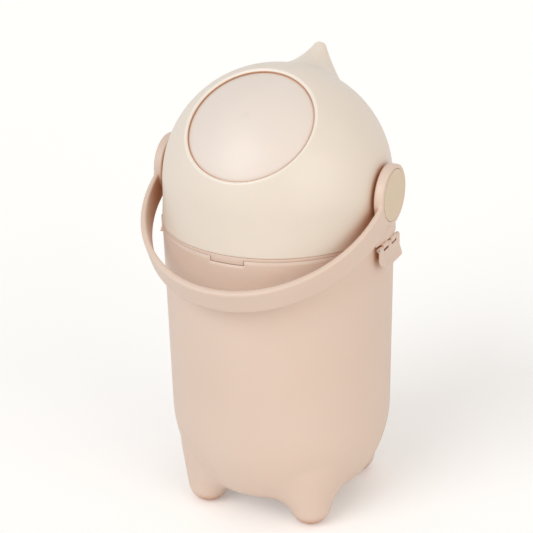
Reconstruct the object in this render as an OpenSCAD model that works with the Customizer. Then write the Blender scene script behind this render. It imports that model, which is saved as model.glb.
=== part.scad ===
// Nappy bin: a footed bucket, a ring that holds the bag, and a domed lid with a ball-shaped drum
// inside. Turning the carrying handle half a turn brings the well of the drum to the round opening,
// and turning it back tips what is in the well into the bucket.
// Millimetres. +Z is up, the front is -Y, the hubs of the handle lie on +X and -X, and the origin
// is on the axis of the bucket at floor level.

/* [Bucket] */
// Outer radius of the bucket at its rim
bucket_r = 127.7; // [118:0.1:140]
// Height of the bucket's rim above the floor
bucket_h = 336.3; // [300:0.1:380]
// Wall of the bucket
bucket_wall = 3; // [2:0.1:4]
// How far the sides lean in towards the floor, in degrees
bucket_draft = 0.78; // [0.3:0.01:1.5]
// Height of the underside between the feet
belly_z = 28; // [22:0.5:36]
// Radius of the large curve that draws the sides in above the underside
flank_round = 145; // [110:1:170]
// Angle that the large curve turns through, in degrees
flank_turn = 30; // [20:0.5:36]
// Radius that rounds the flank into the underside
belly_round = 35; // [26:0.5:42]

/* [Feet] */
// How far the middle of each foot lies inside the bucket's rim
foot_inset = 36.7; // [33:0.1:44]
// Radius of the ball at the end of a foot
foot_r = 23.5; // [18:0.5:26]
// Radius of the small flat that a foot stands on
foot_flat_r = 8; // [5:0.5:12]
// How far the sides of a foot spread, in degrees from upright
foot_spread = 13; // [8:0.5:16]
// Height up to which a foot shows on the flank of the bucket
foot_top = 84; // [60:1:100]
// Lean of a foot's middle towards the axis of the bucket, in degrees
foot_lean = 8; // [4:0.5:12]

/* [Bag ring] */
// Height of the band of the ring that shows between bucket and lid
ring_h = 3.7; // [3:0.1:6]
// Width of the ring's flange
ring_flange_w = 10.2; // [8.7:0.1:11.2]
// Depth of the ring's skirt inside the bucket
ring_skirt_h = 22; // [15:0.5:40]
// Wall of the ring's skirt
ring_wall = 2.4; // [1.6:0.1:3.2]
// Width of the lifting tab at the front
tab_w = 38; // [25:0.5:60]
// How far the tab hangs below the band of the ring
tab_drop = 5; // [3:0.1:9]

/* [Lid] */
// How far the lid stands out past the rim of the bucket at the seam
lid_overhang = 0.3; // [0:0.1:2]
// How much smaller the radius of the dome is than that of the lid at the seam
dome_inset = 2; // [1:0.1:4]
// Height of the dome's centre, and so of the handle's axis, above the seam
dome_rise = 42.6; // [38:0.1:50]
// Wall of the lid
lid_wall = 3; // [2.4:0.1:3.2]
// Radius of the round opening
opening_r = 68.8; // [55:0.1:72]
// Lean of the opening towards the front, in degrees from upright
opening_tilt = 38.4; // [30:0.1:45]
// Width of the bevel round the opening
opening_bevel = 3; // [1:0.1:5]
// Width of the soft seal under the edge of the opening
opening_seal_w = 8; // [4:0.5:12]

/* [Horn] */
// Height of the horn above the dome
horn_h = 43.8; // [24:0.1:60]
// Angle of the horn's tip behind upright, seen from the handle's axis
horn_angle = 45.6; // [35:0.1:50]
// Radius of the horn's rounded tip
horn_tip_r = 8; // [3:0.1:12]
// Radius of the hollow curve that joins the horn to the dome
horn_sweep = 90; // [60:1:120]

/* [Drum] */
// Gap between the ball-shaped drum and the inside of the lid
drum_gap = 1.6; // [1:0.1:4]
// Wall of the drum
drum_wall = 2.6; // [2:0.1:3.5]
// How much the flat sides of the drum are cut off the ball
drum_side_cut = 11.4; // [9.4:0.1:15]
// Inner radius of the well
well_r = 62; // [50:0.5:63]
// Room between the end of the well and the skin of the drum
well_room = 9.8; // [4:0.1:50]
// Height of the joint between the drum's halves, towards the mouth of the well
drum_split = 38; // [30:0.5:45]
// Angle that the stop lug on the drum covers
lug_angle = 40; // [30:1:60]
// Half turn of the handle from one stop to the other
handle_turn = 180; // [150:1:190]

/* [Handle] */
// Angle of the resting handle below level
handle_drop = 26.5; // [20:0.1:35]
// Radius of a hub
hub_r = 33.3; // [28:0.1:36]
// Thickness of a hub
hub_t = 10.5; // [9:0.1:13]
// Gap between a hub's inner face and the flange of the pivot bush
hub_gap = 0.3; // [0.2:0.05:1]
// Gap that the handle leaves when it passes over the horn
horn_gap = 1.6; // [1.5:0.1:15]
// Thickness of the handle at the front
grip_t = 7.7; // [5:0.1:14]
// Thickness of the handle's arms at the hubs
arm_t = 6.2; // [3.5:0.1:8]
// Distance from a hub's middle to where its arm starts to curve in
arm_straight = 30.5; // [5:0.1:45]
// Height of the handle's upper edge over its axis
band_top = 11; // [4:0.1:14]
// Depth of the handle's lower edge under its axis
band_bottom = 18.2; // [12:0.1:25]
// Radius of the cap in a hub
cap_r = 28.2; // [22:0.1:29]
// Thickness of the cap in a hub
cap_t = 2.2; // [1.6:0.1:3]

/* [Pivot] */
// Radius of the spigot on each hub
spigot_r = 12; // [9:0.1:14]
// Running clearance of a spigot in its bush, all round
pivot_play = 0.05; // [0.02:0.01:0.1]
// Wall of a pivot bush
bush_wall = 3; // [2:0.1:4]
// Thickness of a bush's flange
bush_flange_t = 2; // [1.5:0.1:3]
// Radius of a bush's flange
bush_flange_r = 19.5; // [18.5:0.1:20.5]
// Wall round the bush inside the lid
boss_wall = 6; // [4:0.5:7]
// Radius of a hub screw
hub_screw_r = 2.5; // [2:0.1:3]

/* [Latches] */
// Width of a latch
latch_w = 55; // [40:0.5:60]
// Length of a latch below its pin
latch_len = 22.5; // [20:0.5:28]
// Thickness of a latch
latch_t = 2.6; // [2:0.1:3.5]
// How far the thumb lip stands out from the face of a latch
lip_out = 4.6; // [2:0.1:7]
// Radius of the rounded lower corners of a latch
latch_corner_r = 9; // [4:0.5:11]
// Distance of a latch pin below the seam
pin_drop = 12.5; // [11:0.1:16]
// Radius of a latch pin
pin_r = 1.2; // [1:0.1:1.5]
// Wall of the knuckles round a latch pin
knuckle_wall = 1.2; // [1:0.1:1.6]
// Running clearance of a latch on its pin, all round
pin_play = 0.05; // [0.02:0.01:0.1]
// Width of the knuckle in the middle of a latch
knuckle_w = 7.4; // [5:0.1:10]
// Width of each of the two knuckles on the lid
lid_knuckle_w = 14; // [10:0.5:16]
// Thickness of the ear that carries a latch
ear_t = 3; // [2.4:0.1:4]
// Height of the ear above the seam
ear_rise = 7; // [5:0.5:12]
// How far the catch rib stands out from the bucket
catch_out = 1.2; // [0.8:0.1:1.4]
// Distance of the catch rib's underside below the latch pin
catch_drop = 14.3; // [11:0.1:16]
// Height of the catch rib
catch_h = 4; // [3:0.1:5]
// Width of the catch rib
catch_w = 28; // [20:0.5:36]

/* [Clearances] */
// Gap between parts that slide or lift past each other
slide_gap = 0.4; // [0.2:0.05:0.8]
// Gap between parts that seat in one another
seat_gap = 0.2; // [0.1:0.05:0.4]
// Gap between a moving part and what it passes
pass_gap = 0.3; // [0.2:0.05:0.6]

/* [Hidden] */
$fn = 96;

blush = "#E4CBBE";
cream = "#E6DACD";
beige = "#D8C6AC";
steel = "#B4B2AE";
grey = "#8C8680";

over = 1;                                   // how far a cutter runs past what it cuts
crease = 0.3;                               // surfaces that would only touch cross by this much
seam_z = bucket_h + ring_h;                 // the lid rests here on the bag ring
axis_z = seam_z + dome_rise;                // height of the handle's axis
side_x = [-1, 1];

// Bucket
lean = tan(bucket_draft);
foot_reach = bucket_r - foot_inset;
ring_inner_r = bucket_r - ring_flange_w;
ring_skirt_r = bucket_r - bucket_wall - slide_gap - lean * ring_skirt_h;

// Lid
lid_r = bucket_r + lid_overhang;            // at the seam
dome_r = lid_r - dome_inset;
horn_reach = dome_r + horn_h;               // from the handle's axis to the tip of the horn
lid_flare = (lid_r - dome_r) / dome_rise;
base_t = 4.4;                               // the base ring that closes the lid round the drum
base_gap = 0.8;                             // the base ring stays this far above the bag ring
base_bead = 0.8;                            // bead that snaps the base ring into the lid
bead_z = 2.2;
bead_h = 1.2;
bevel_flare = 1.3;                          // the bevel of the opening runs out this much per rise
base_inner_r = ring_inner_r - 0.5;
base_outer_r = lid_r - lid_wall - slide_gap;
seal_w = 3.4;
seal_inner_r = base_inner_r + 2;
seal_t = 2.6;

// Drum
drum_r = dome_r - lid_wall - drum_gap;
drum_flat = drum_r - drum_side_cut;         // distance of the drum's flat sides from the middle
socket_wall = 3.8;
socket_r = spigot_r + seat_gap + socket_wall;
socket_depth = 12;
socket_floor = 4;
key_cut = 2.5;                              // the two flats that lock a spigot in its socket
spigot_end = drum_flat - socket_depth;
drum_boss_r = 6;
drum_boss_reach = drum_r - 11.9;
drum_boss_h = 18;
drum_screw_r = 1.5;
cup_flange = 10;                            // the flange round the cup that carries it in the shell
mouth_z = -sqrt(pow(drum_r, 2) - pow(well_r + drum_wall + seat_gap, 2));
cup_end = sqrt(pow(drum_r - drum_wall, 2) - pow(well_r + drum_wall, 2)) - well_room;
well_depth = cup_end - drum_wall - mouth_z;

// Pivot
pivot_face = sqrt(pow(dome_r, 2) - pow(bush_flange_r + 2, 2));  // flat on the dome for the flange
hub_face = pivot_face + bush_flange_t + hub_gap;                // inner face of a hub
hub_out = hub_face + hub_t;                                     // outer face of a hub
bush_r = spigot_r + pivot_play + bush_wall;
boss_r = bush_r + boss_wall;
boss_face = drum_flat + 5;                  // inner end of the boss that holds a bush
stop_in = boss_r + 2;                       // the stops lie in a band round the boss
stop_out = stop_in + 7;
stop_clear = 0.5;                           // degrees left at each end of the handle's travel

// Hub screws and caps
screw_head_r = 4.8;
screw_head_t = 3.2;
screw_pocket_r = 8;
screw_pocket = cap_t + 4.6;                 // depth of the pocket for the screw's head
cap_plug_wall = 1.4;

// Handle
handle_reach = horn_reach + horn_gap;       // from the axis to the handle's inner edge at the front
bow_inner_x = hub_out - arm_t;
bow_inner_q = handle_reach - arm_straight;
bow_outer_q = bow_inner_q + grip_t;
bow_steps = 56;
bow_angles = [for (i = [0 : bow_steps]) 90 - i * 180 / bow_steps];

// Latches
knuckle_r = pin_r + pin_play + knuckle_wall;
pin_z = seam_z - pin_drop;
pin_x = bucket_r + pass_gap + knuckle_r;
slot_end = knuckle_w / 2 + pass_gap + lid_knuckle_w;            // outer end of a lid knuckle
ear_inner_r = bucket_r + slide_gap;
ear_bottom = pin_z + max(knuckle_r, latch_t) + 3 * pass_gap;
catch_z = pin_z - catch_drop;
hook_h = 3.6;
hook_in = bucket_r + catch_out + pass_gap;  // the hook's tip clears the rib when the lid lifts
hook_w = catch_w - 2 * over;
slot_gap = 1.6;                             // the latch's slots show below the lid's knuckles

// ---- shapes that repeat ----

// A point at a distance r from c, in a direction that turns down from level by a
function below_level(c, r, a) = [c[0] + r * cos(a), c[1] - r * sin(a)];

// Middle of the small curve at the edge of the underside, for a side that ends at the rim
belly_mid_z = belly_z + belly_round;
flank_mid_z = belly_mid_z + (flank_round - belly_round) * sin(flank_turn);
flank_mid_x = (bucket_r * cos(bucket_draft) - bucket_h * sin(bucket_draft) - flank_round
               + flank_mid_z * sin(bucket_draft)) / cos(bucket_draft);
flank_mid = [flank_mid_x, flank_mid_z];
belly_mid = [flank_mid_x + (flank_round - belly_round) * cos(flank_turn), belly_mid_z];

// Half of the bucket's upright section up to top, drawn in by a wall's thickness t
module side_profile(t, top) {
    r_top = bucket_r - t / cos(bucket_draft) + (top - bucket_h) * lean;
    far = 2 * flank_round;
    translate(belly_mid) circle(belly_round - t);
    intersection() {
        translate(flank_mid) circle(flank_round - t);
        polygon([flank_mid, below_level(flank_mid, far, bucket_draft),
                 below_level(flank_mid, far, flank_turn)]);
        square([2 * bucket_r, top]);
    }
    polygon([[0, belly_z + t], [belly_mid[0], belly_z + t],
             below_level(belly_mid, belly_round - t, flank_turn),
             below_level(flank_mid, flank_round - t, bucket_draft), [r_top, top], [0, top]]);
}

// One foot, drawn in by a wall's thickness t: a ball that spreads upwards into the flank
module foot_form(t) {
    ball = foot_r - t;
    ball_z = sqrt(pow(foot_r, 2) - pow(foot_flat_r, 2));
    rise = foot_top - ball_z;
    edge_z = -ball * sin(foot_spread);
    edge_r = ball * cos(foot_spread) - crease;
    intersection() {
        translate([0, 0, ball_z]) rotate([0, -foot_lean, 0]) rotate_extrude() {
            intersection() {
                circle(ball);
                translate([0, -ball]) square(2 * ball);
            }
            polygon([[0, edge_z], [edge_r, edge_z],
                     [edge_r + (rise - edge_z) * tan(foot_spread), rise], [0, rise]]);
        }
        translate([-2 * foot_r, -2 * foot_r, t]) cube([4 * foot_r, 4 * foot_r, 2 * foot_top]);
    }
}

module bucket_form(t, top) {
    rotate_extrude() intersection() {
        side_profile(t, top);
        square([bucket_r * 2, top]);
    }
    for (turn = [45 : 90 : 315])
        rotate([0, 0, turn]) translate([foot_reach, 0, 0]) foot_form(t);
}

// The horn's hollow curve touches both the dome and the ball of the tip: middle of that curve,
// in the plane through the horn, measured from the dome's centre
horn_tip = horn_reach - horn_tip_r;
sweep_along = (pow(dome_r + horn_sweep, 2) - pow(horn_tip_r + horn_sweep, 2) + pow(horn_tip, 2))
              / (2 * horn_tip);
sweep_mid = [sqrt(pow(dome_r + horn_sweep, 2) - pow(sweep_along, 2)), sweep_along];
tip_flat = 0.05;                            // the horn's tip is taken off flat by this much

// The dome with its horn along +Z, drawn in by a wall's thickness t
module domed_horn(t) {
    on_dome = sweep_mid * (dome_r - t) / (dome_r + horn_sweep);
    on_tip = [0, horn_tip] + (sweep_mid - [0, horn_tip]) * (horn_tip_r - t) / (horn_sweep + horn_tip_r);
    steps = 16;
    a0 = atan2(on_dome[1] - sweep_mid[1], on_dome[0] - sweep_mid[0]);
    a1 = atan2(on_tip[1] - sweep_mid[1], on_tip[0] - sweep_mid[0]);
    hollow = [for (i = [0 : steps]) let (a = a0 + (a1 - a0) * i / steps)
              sweep_mid + (horn_sweep + t + crease / 2) * [cos(a), sin(a)]];
    sphere(dome_r - t);
    intersection() {
        translate([0, 0, horn_tip]) sphere(horn_tip_r - t);
        cylinder(h = horn_reach - t - tip_flat, r = dome_r);
    }
    rotate_extrude() polygon(concat([[0, 0]], hollow, [[0, hollow[steps][1]]]));
}

// The dome on its slightly flared skirt, from z = bottom up
module dome_form(t, bottom) {
    r = dome_r - t;
    inside = 8;                             // the skirt runs up into the dome by this much
    drop = 20;                              // and the dome runs down into the skirt by this much
    intersection() {
        translate([0, 0, axis_z]) rotate([-horn_angle, 0, 0]) domed_horn(t);
        translate([-dome_r, -dome_r, axis_z - drop]) cube([2 * dome_r, 2 * dome_r, horn_reach + drop]);
    }
    translate([0, 0, bottom])
        cylinder(h = axis_z + inside - bottom, r1 = r + (axis_z - bottom) * lid_flare,
                 r2 = r - inside * lid_flare);
}

module ring(outer, inner, z0, z1) {
    translate([0, 0, z0]) difference() {
        cylinder(h = z1 - z0, r = outer);
        translate([0, 0, -over]) cylinder(h = z1 - z0 + 2 * over, r = inner);
    }
}

// A cylinder on the handle's axis, from x0 to x1 on the side s
module on_axis(s, x0, x1, r) {
    translate([s * x0, 0, axis_z]) rotate([0, s * 90, 0]) cylinder(h = x1 - x0, r = r);
}

// A cylinder along Y, in the middle of a latch pin
module along_pin(s, y0, y1, r) {
    translate([s * pin_x, y1, pin_z]) rotate([90, 0, 0]) cylinder(h = y1 - y0, r = r);
}

// A slice of a ring round the handle's axis: angles count from the front over the top
module stop_sector(s, x0, x1, middle, spread) {
    translate([s * x0, 0, axis_z]) rotate([-middle, 0, 0]) rotate([0, s * 90, 0])
        rotate([0, 0, -90 - spread / 2])
            rotate_extrude(angle = spread)
                translate([stop_in, 0]) square([stop_out - stop_in, x1 - x0]);
}

// Turns local +Z to the middle of the opening
module to_opening() {
    translate([0, 0, axis_z]) rotate([opening_tilt, 0, 0]) children();
}

module ball_slice(r, z0, z1) {
    intersection() {
        sphere(r);
        translate([-drum_flat, -r - over, z0]) cube([2 * drum_flat, 2 * (r + over), z1 - z0]);
    }
}

// ---- pieces ----

module bucket() color(blush) {
    difference() {
        bucket_form(0, bucket_h);
        bucket_form(bucket_wall, bucket_h + over);
        tab_notch();
    }
    for (s = side_x) catch_rib(s);
}

module tab_notch() {
    depth = tab_drop + slide_gap;
    translate([-tab_w / 2 - slide_gap, -bucket_r - over, bucket_h - depth])
        cube([tab_w + 2 * slide_gap, bucket_wall + 4, depth + over]);
}

module catch_rib(s) {
    rib_r = bucket_r + catch_out;
    intersection() {
        ring(rib_r, bucket_r - bucket_wall / 2 - lean * (bucket_h - catch_z), catch_z, catch_z + catch_h);
        translate([s * rib_r / 2, 0, catch_z]) cube([rib_r, catch_w, 3 * catch_h], center = true);
    }
}

module bag_ring() color(blush) {
    ring(bucket_r, ring_inner_r, bucket_h, seam_z);
    ring(ring_skirt_r, ring_skirt_r - ring_wall, bucket_h - ring_skirt_h, bucket_h);
    intersection() {
        ring(bucket_r, ring_skirt_r - ring_wall / 2, bucket_h - tab_drop, bucket_h);
        translate([-tab_w / 2, -bucket_r - over, 0]) cube([tab_w, bucket_r, seam_z]);
    }
}

module lid_shell() color(cream) {
    difference() {
        union() {
            difference() {
                dome_form(0, seam_z);
                dome_form(lid_wall, seam_z - over);
                to_opening() opening_cut();
                base_groove();
                for (s = side_x) {
                    on_axis(s, pivot_face, dome_r + over, bush_flange_r + 2);
                    on_axis(s, hub_face - pass_gap, lid_r + over, hub_r + pass_gap);
                }
            }
            for (s = side_x) {
                pivot_boss(s);
                stop_block(s);
                latch_ear(s);
            }
        }
        for (s = side_x) {
            on_axis(s, boss_face - over, pivot_face + over, bush_r);
            along_pin(s, -latch_w / 2, latch_w / 2, pin_r);
        }
    }
}

module opening_cut() {
    wall_z = sqrt(pow(dome_r - lid_wall / 2, 2) - pow(opening_r, 2));
    cylinder(h = dome_r + over, r = opening_r);
    translate([0, 0, wall_z])
        cylinder(h = 2 * opening_bevel, r1 = opening_r, r2 = opening_r + 2 * opening_bevel * bevel_flare);
}

module base_groove() {
    inner = lid_r - lid_wall;
    z0 = seam_z + base_gap + bead_z;
    ring(inner + base_bead - slide_gap / 2, inner - lid_wall, z0 - seat_gap, z0 + bead_h + seat_gap);
}

module pivot_boss(s) {
    intersection() {
        on_axis(s, boss_face, pivot_face, boss_r);
        dome_form(lid_wall / 2, seam_z);
    }
}

module stop_block(s) {
    intersection() {
        stop_sector(s, drum_flat + 2, dome_r, -90,
                    360 - handle_turn - lug_angle - 2 * stop_clear);
        dome_form(lid_wall / 2, seam_z);
    }
}

// The ear stands on the skirt of the lid and reaches down over the seam to the latch's pin
module latch_ear(s) {
    outer = lid_r + ear_t;
    intersection() {
        difference() {
            translate([0, 0, ear_bottom]) cylinder(h = seam_z + ear_rise - ear_bottom, r = outer);
            translate([0, 0, ear_bottom - over])
                cylinder(h = seam_z - ear_bottom + over, r = ear_inner_r);
            translate([0, 0, ear_bottom - over])
                cylinder(h = ear_rise + pin_drop + 2 * over, r = lid_r - lid_wall / 2);
        }
        translate([s * outer / 2, 0, 0]) rotate([90, 0, s * 90])
            translate([0, 0, -outer / 2]) linear_extrude(outer) ear_outline();
    }
    for (y = [-1, 1]) lid_knuckle(s, y);
}

module ear_outline() {
    shoulder = min(16, seam_z + ear_rise - ear_bottom - over);
    cut = 0.3 * shoulder;
    top = seam_z + ear_rise;
    half = latch_w / 2;
    polygon([[-half, ear_bottom], [half, ear_bottom], [half, top - shoulder],
             [half - cut, top - cut], [half - shoulder, top],
             [shoulder - half, top], [cut - half, top - cut], [-half, top - shoulder]]);
}

module lid_knuckle(s, y) {
    y0 = y > 0 ? knuckle_w / 2 + pass_gap : -slot_end;
    x0 = ear_inner_r + seat_gap;
    x1 = pin_x + knuckle_r;
    along_pin(s, y0, y0 + lid_knuckle_w, knuckle_r);
    translate([s > 0 ? x0 : -x1, y0, pin_z]) cube([x1 - x0, lid_knuckle_w, ear_bottom - pin_z + over]);
}

module lid_base() color(cream) {
    z0 = seam_z + base_gap;
    difference() {
        union() {
            ring(base_outer_r, base_inner_r, z0, z0 + base_t);
            ring(base_outer_r + base_bead - slide_gap / 2, base_inner_r + over,
                 z0 + bead_z, z0 + bead_z + bead_h);
        }
        ring(seal_inner_r + seal_w + seat_gap, seal_inner_r - seat_gap, z0 - over, seam_z + seal_t);
    }
}

module lid_seal() color(grey) {
    ring(seal_inner_r + seal_w, seal_inner_r, seam_z, seam_z + seal_t);
}

module opening_seal() color(grey) {
    to_opening() difference() {
        intersection() {
            sphere(dome_r - lid_wall - seat_gap);
            cylinder(h = dome_r, r = opening_r + opening_seal_w);
        }
        sphere(drum_r + pass_gap);
        cylinder(h = dome_r, r = opening_r);
    }
}

module pivot_bush(s) color(grey) {
    difference() {
        union() {
            on_axis(s, boss_face, pivot_face + over / 2, bush_r);
            on_axis(s, pivot_face, pivot_face + bush_flange_t, bush_flange_r);
        }
        on_axis(s, boss_face - over, hub_face, spigot_r + pivot_play);
    }
}
module pivot_bush_left() pivot_bush(-1);
module pivot_bush_right() pivot_bush(1);

// The inside of the drum's skin
module drum_hollow() {
    inner = drum_r - drum_wall;
    intersection() {
        sphere(inner);
        cube([2 * (drum_flat - drum_wall), 2 * inner, 2 * inner], center = true);
    }
}

module drum_boss_places() {
    for (turn = [45 : 90 : 315]) rotate([0, 0, turn]) translate([drum_boss_reach, 0, 0]) children();
}

module drum_shell() color(cream) {
    difference() {
        union() {
            to_opening() difference() {
                ball_slice(drum_r, -drum_split, drum_r + over);
                drum_hollow();
            }
            to_opening() intersection() {
                sphere(drum_r - drum_wall / 2);
                drum_boss_places() translate([0, 0, -drum_split]) cylinder(h = drum_boss_h, r = drum_boss_r);
            }
            for (s = side_x) {
                on_axis(s, spigot_end - socket_floor, drum_flat - drum_wall / 2, socket_r);
                drum_lug(s);
            }
        }
        to_opening() drum_boss_places() translate([0, 0, -drum_split - over])
            cylinder(h = drum_boss_h - 3, r = drum_screw_r);
        for (s = side_x) {
            spigot_key(s, seat_gap, spigot_end - seat_gap, drum_flat + over);
            on_axis(s, 0.7 * drum_flat, drum_flat, hub_screw_r);
        }
    }
}

module drum_lug(s) {
    intersection() {
        stop_sector(s, drum_flat - drum_wall / 2, drum_r, 0, lug_angle);
        translate([0, 0, axis_z]) sphere(drum_r);
    }
}

// The keyed end of a spigot: round with two flats, grown all round by g
module spigot_key(s, g, x0, x1) {
    reach = spigot_r + g;
    intersection() {
        on_axis(s, x0, x1, reach);
        translate([s > 0 ? x0 : -x1, -reach, axis_z - reach + key_cut])
            cube([x1 - x0, 2 * reach, 2 * (reach - key_cut)]);
    }
}

module drum_mouth_shell() color(cream) to_opening() {
    difference() {
        union() {
            difference() {
                ball_slice(drum_r, -drum_r - over, -drum_split);
                drum_hollow();
            }
            intersection() {
                ball_slice(drum_r, -drum_r - over, -drum_split);
                drum_boss_places() translate([0, 0, -drum_r])
                    cylinder(h = drum_r - drum_split, r = drum_boss_r);
            }
        }
        translate([0, 0, -drum_r - over])
            cylinder(h = drum_r, r = well_r + drum_wall + seat_gap);
        drum_boss_places() {
            translate([0, 0, -drum_r]) cylinder(h = drum_r, r = drum_screw_r);
            translate([0, 0, -drum_r]) cylinder(h = drum_r - drum_split - 4, r = 2.2 * drum_screw_r);
        }
    }
}

module drum_cup() color(cream) to_opening() {
    difference() {
        union() {
            intersection() {
                translate([0, 0, -drum_r]) cylinder(h = drum_r + cup_end, r = well_r + drum_wall);
                sphere(drum_r);
            }
            difference() {
                intersection() {
                    sphere(drum_r - drum_wall - seat_gap);
                    translate([0, 0, -drum_r]) cylinder(h = drum_r, r = well_r + cup_flange);
                }
                sphere(drum_r - 2 * drum_wall);
            }
        }
        translate([0, 0, -drum_r - over]) cylinder(h = drum_r + over + mouth_z + well_depth, r = well_r);
    }
}

module drum_screws() color(steel) to_opening() drum_boss_places() {
    translate([0, 0, -drum_split - 4]) cylinder(h = 14, r = drum_screw_r);
    translate([0, 0, -drum_split - 6]) cylinder(h = 2, r = 2 * drum_screw_r);
}

// The section of the handle between two points in its own plane, bevelled at its four edges
function bow_section(inner, outer) =
    let (c = 0.28, bevel = c * norm(outer - inner),
         at = function (u, n) [inner[0] + (outer[0] - inner[0]) * u,
                               inner[1] + (outer[1] - inner[1]) * u, n])
    [at(0, band_top - bevel), at(c, band_top), at(1 - c, band_top), at(1, band_top - bevel),
     at(1, bevel - band_bottom), at(1 - c, -band_bottom), at(c, -band_bottom), at(0, bevel - band_bottom)];

bow_sections = concat(
    [bow_section([bow_inner_x, 0], [hub_out, 0])],
    [for (a = bow_angles)
        bow_section([bow_inner_x * sin(a), arm_straight + bow_inner_q * cos(a)],
                    [hub_out * sin(a), arm_straight + bow_outer_q * cos(a)])],
    [bow_section([-bow_inner_x, 0], [-hub_out, 0])]);

// The band of the handle, lying level: X across, the front towards -Y
module bow() {
    rings = len(bow_sections);
    n = len(bow_sections[0]);
    points = [for (ring = bow_sections, p = ring) [p[0], -p[1], p[2]]];
    sides = [for (i = [0 : rings - 2], j = [0 : n - 1])
        [i * n + j, i * n + (j + 1) % n, (i + 1) * n + (j + 1) % n, (i + 1) * n + j]];
    triangles = [for (q = sides, t = [[q[0], q[1], q[2]], [q[0], q[2], q[3]]]) t];
    first = [for (j = [n - 1 : -1 : 0]) j];
    last = [for (j = [0 : n - 1]) (rings - 1) * n + j];
    polyhedron(points, concat(triangles, [first, last]));
}

module handle() color(blush) {
    difference() {
        union() {
            translate([0, 0, axis_z]) rotate([handle_drop, 0, 0]) bow();
            for (s = side_x) {
                on_axis(s, hub_face, hub_out, hub_r);
                on_axis(s, drum_flat + over, hub_face + over, spigot_r);
                spigot_key(s, 0, spigot_end, drum_flat + 2 * over);
            }
        }
        for (s = side_x) {
            on_axis(s, hub_out - cap_t, hub_out + over, cap_r + seat_gap);
            on_axis(s, hub_out - screw_pocket, hub_out, screw_pocket_r);
            on_axis(s, spigot_end - over, hub_out, hub_screw_r + seat_gap);
        }
    }
}

module hub_cap(s) color(beige) {
    plug_r = screw_pocket_r - seat_gap;
    on_axis(s, hub_out - cap_t, hub_out, cap_r);
    difference() {
        on_axis(s, hub_out - screw_pocket + seat_gap, hub_out - cap_t / 2, plug_r);
        on_axis(s, hub_out - screw_pocket - over, hub_out - cap_t, plug_r - cap_plug_wall);
    }
}
module hub_cap_left() hub_cap(-1);
module hub_cap_right() hub_cap(1);

module hub_screw(s) color(steel) {
    seat = hub_out - screw_pocket;
    difference() {
        union() {
            on_axis(s, spigot_end - socket_floor + over, seat + over, hub_screw_r);
            on_axis(s, seat, seat + screw_head_t, screw_head_r);
        }
        on_axis(s, seat + screw_head_t / 2, seat + screw_head_t + over, screw_head_r / 2.2, $fn = 6);
    }
}
module hub_screw_left() hub_screw(-1);
module hub_screw_right() hub_screw(1);

module latch(s) color(blush) {
    half = latch_w / 2;
    face_in = pin_x;                                  // the latch's back lies on the line of its pin
    face_out = face_in + latch_t;
    bottom = pin_z - latch_len;
    slot_z = pin_z - knuckle_r - slot_gap;
    difference() {
        union() {
            along_pin(s, -knuckle_w / 2, knuckle_w / 2, knuckle_r);
            for (y0 = [-half, slot_end + pass_gap])
                along_pin(s, y0, y0 + half - slot_end - pass_gap, knuckle_r);
            intersection() {
                rotate([90, 0, 0]) translate([0, 0, -half]) linear_extrude(latch_w) latch_profile(s);
                latch_outline(bottom);
            }
            intersection() {
                translate([s > 0 ? hook_in : -face_in - over, -hook_w / 2, catch_z - pass_gap - hook_h])
                    cube([face_in + over - hook_in, hook_w, hook_h]);
                latch_outline(bottom);
            }
        }
        for (y0 = [knuckle_w / 2, -slot_end - pass_gap])
            translate([s > 0 ? face_in - knuckle_r - over : -face_out - over, y0, slot_z])
                cube([knuckle_r + latch_t + 2 * over, lid_knuckle_w + 2 * pass_gap,
                      pin_z + knuckle_r - slot_z + over]);
        along_pin(s, -half - over, half + over, pin_r + pin_play);
    }
}

// Side view of a latch: a plate that bends outwards into a thumb lip
module latch_profile(s) {
    x0 = pin_x;
    x1 = pin_x + latch_t;
    bottom = pin_z - latch_len;
    lip = bottom + 9;
    polygon([for (p = [[x0, pin_z], [x1, pin_z], [x1, lip + 2], [x1 + lip_out * 0.25, lip - 2],
                       [x1 + lip_out, bottom + 1.4], [x1 + lip_out - 1, bottom],
                       [x1 + lip_out - latch_t, bottom + 0.6], [x0 + lip_out * 0.22, lip - 4], [x0, lip]])
             [s * p[0], p[1]]]);
}

// Front view of a latch, seen along X: rounded lower corners
module latch_outline(bottom) {
    half = latch_w / 2;
    round_y = half - latch_corner_r;
    reach = lid_r + 20;
    translate([-reach, -half, bottom + latch_corner_r]) cube([2 * reach, latch_w, latch_len + 10]);
    translate([-reach, -round_y, bottom]) cube([2 * reach, 2 * round_y, latch_len]);
    for (y = [-round_y, round_y])
        translate([-reach, y, bottom + latch_corner_r]) rotate([0, 90, 0])
            cylinder(h = 2 * reach, r = latch_corner_r);
}
module latch_left() latch(-1);
module latch_right() latch(1);

module latch_pin(s) color(steel) along_pin(s, -latch_w / 2, latch_w / 2, pin_r);
module latch_pin_left() latch_pin(-1);
module latch_pin_right() latch_pin(1);

bucket();
bag_ring();
lid_shell();
lid_base();
lid_seal();
opening_seal();
pivot_bush_left();
pivot_bush_right();
drum_shell();
drum_mouth_shell();
drum_cup();
drum_screws();
handle();
hub_cap_left();
hub_cap_right();
hub_screw_left();
hub_screw_right();
latch_left();
latch_right();
latch_pin_left();
latch_pin_right();
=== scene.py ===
# A nappy bin of moulded polypropylene: footed bucket, bag ring, domed lid with a tipping drum,
# carrying handle and two side latches. Lengths are in millimetres until a mesh is made.
import math

import bpy
import numpy as np
from mathutils import Matrix, Vector


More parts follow.
